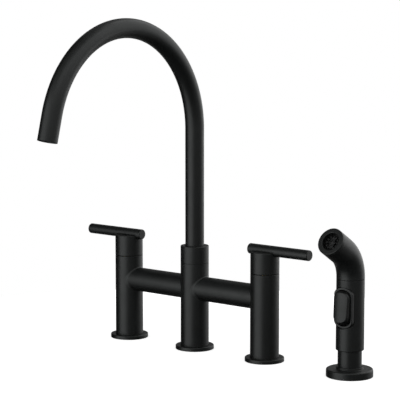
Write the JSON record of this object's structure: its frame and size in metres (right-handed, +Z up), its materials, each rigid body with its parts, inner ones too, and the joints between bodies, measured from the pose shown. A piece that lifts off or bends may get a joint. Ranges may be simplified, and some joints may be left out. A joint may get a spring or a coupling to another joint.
{
  "type": "bridge kitchen faucet",
  "caption": "Bridge faucet with a high round swivel spout on three flanged posts, two caps with bar levers, and a side spray wand in its holder.",
  "frame": {"origin": "the middle of the centre post's foot, on the deck plane", "axes": "+X along the bridge towards the side spray, -Y towards the user and the way the spout reaches, +Z up"},
  "size_m": [0.4051, 0.2714, 0.3806],
  "materials": {
    "matte_black": "satin black coating over brass",
    "brass": "machined",
    "steel": "bright",
    "rubber": "matte",
    "ceramic": "lapped ceramic",
    "nylon": "moulded",
    "black_plastic": "moulded, fine matte"
  },
  "bodies": {
    "faucet_body": {"left_base_flange": "matte_black", "left_base_gasket": "rubber", "left_valve_post": "matte_black", "left_inlet_riser": "brass", "left_seat_seal": "rubber", "left_cartridge_body": "brass", "left_cartridge_nut": "brass", "left_fixed_disc": "ceramic", "left_bridge_tube": "matte_black", "right_base_flange": "matte_black", "right_base_gasket": "rubber", "right_valve_post": "matte_black", "right_inlet_riser": "brass", "right_seat_seal": "rubber", "right_cartridge_body": "brass", "right_cartridge_nut": "brass", "right_fixed_disc": "ceramic", "right_bridge_tube": "matte_black", "centre_base_flange": "matte_black", "centre_base_gasket": "rubber", "centre_post": "matte_black", "spray_outlet_riser": "brass", "diverter_body": "brass", "diverter_spring": "steel", "spout_o_ring": "rubber", "spout_lower_bush": "nylon", "spout_upper_bush": "nylon", "spout_collar": "matte_black", "spray_base_flange": "matte_black", "spray_base_gasket": "rubber", "spray_holder_sleeve": "matte_black", "spray_holder_liner": "nylon"},
    "left_handle": {"left_moving_disc": "ceramic", "left_valve_stem": "brass", "left_handle_cap": "matte_black", "left_lever_bar": "matte_black", "left_handle_set_screw": "steel"},
    "right_handle": {"right_moving_disc": "ceramic", "right_valve_stem": "brass", "right_handle_cap": "matte_black", "right_lever_bar": "matte_black", "right_handle_set_screw": "steel"},
    "spout": {"spout_tube": "matte_black", "spout_snap_ring": "steel", "aerator_housing": "black_plastic", "aerator_screen": "black_plastic", "aerator_washer": "rubber"},
    "diverter_valve": {"diverter_piston": "nylon"},
    "spray_wand": {"spray_handle_shell": "matte_black", "spray_joint_sleeve": "black_plastic", "spray_hose_stem": "brass", "spray_valve_body": "black_plastic", "spray_plunger_spring": "steel", "spray_button_pin": "steel", "spray_head_shell": "matte_black", "spray_waterway_tube": "black_plastic", "spray_face_ring": "matte_black", "spray_nozzle_plate": "black_plastic"},
    "spray_trigger": {"spray_button": "matte_black"},
    "spray_valve": {"spray_plunger": "steel"}
  },
  "joints": [
    {"name": "left_handle_turn", "type": "hinge", "parent": "faucet_body", "child": "left_handle", "pos_m": [-0.1016, 0, 0.0988], "axis": [0, 0, 1], "range_deg": [0, 90]},
    {"name": "right_handle_turn", "type": "hinge", "parent": "faucet_body", "child": "right_handle", "pos_m": [0.1016, 0, 0.0988], "axis": [0, 0, -1], "range_deg": [0, 90]},
    {"name": "spout_swivel", "type": "hinge", "parent": "faucet_body", "child": "spout", "pos_m": [0, 0, 0.12], "axis": [0, 0, 1], "range_deg": [-90, 90]},
    {"name": "diverter_shift", "type": "slide", "parent": "faucet_body", "child": "diverter_valve", "axis": [0, 0, 1], "range_m": [0, 0.004], "stiffness_N_per_m": 60, "springref_m": -0.002, "deforming": ["diverter_spring"]},
    {"name": "spray_lift", "type": "slide", "parent": "faucet_body", "child": "spray_wand", "axis": [0, 0, 1], "range_m": [0, 0.08]},
    {"name": "spray_button_press", "type": "hinge", "parent": "spray_wand", "child": "spray_trigger", "pos_m": [0.2169, -0.01, 0.091], "axis": [1, 0, 0], "range_deg": [0, 4], "stiffness_Nm_per_rad": 0.5, "springref_deg": -5.73},
    {"name": "spray_plunger_slide", "type": "slide", "parent": "spray_wand", "child": "spray_valve", "axis": [0, 1, 0], "range_m": [0, 0.0015], "deforming": ["spray_plunger_spring"]}
  ],
  "couplings": [
    {"joint": "spray_plunger_slide", "follows": "spray_button_press", "m_per_rad": 0.02}
  ]
}
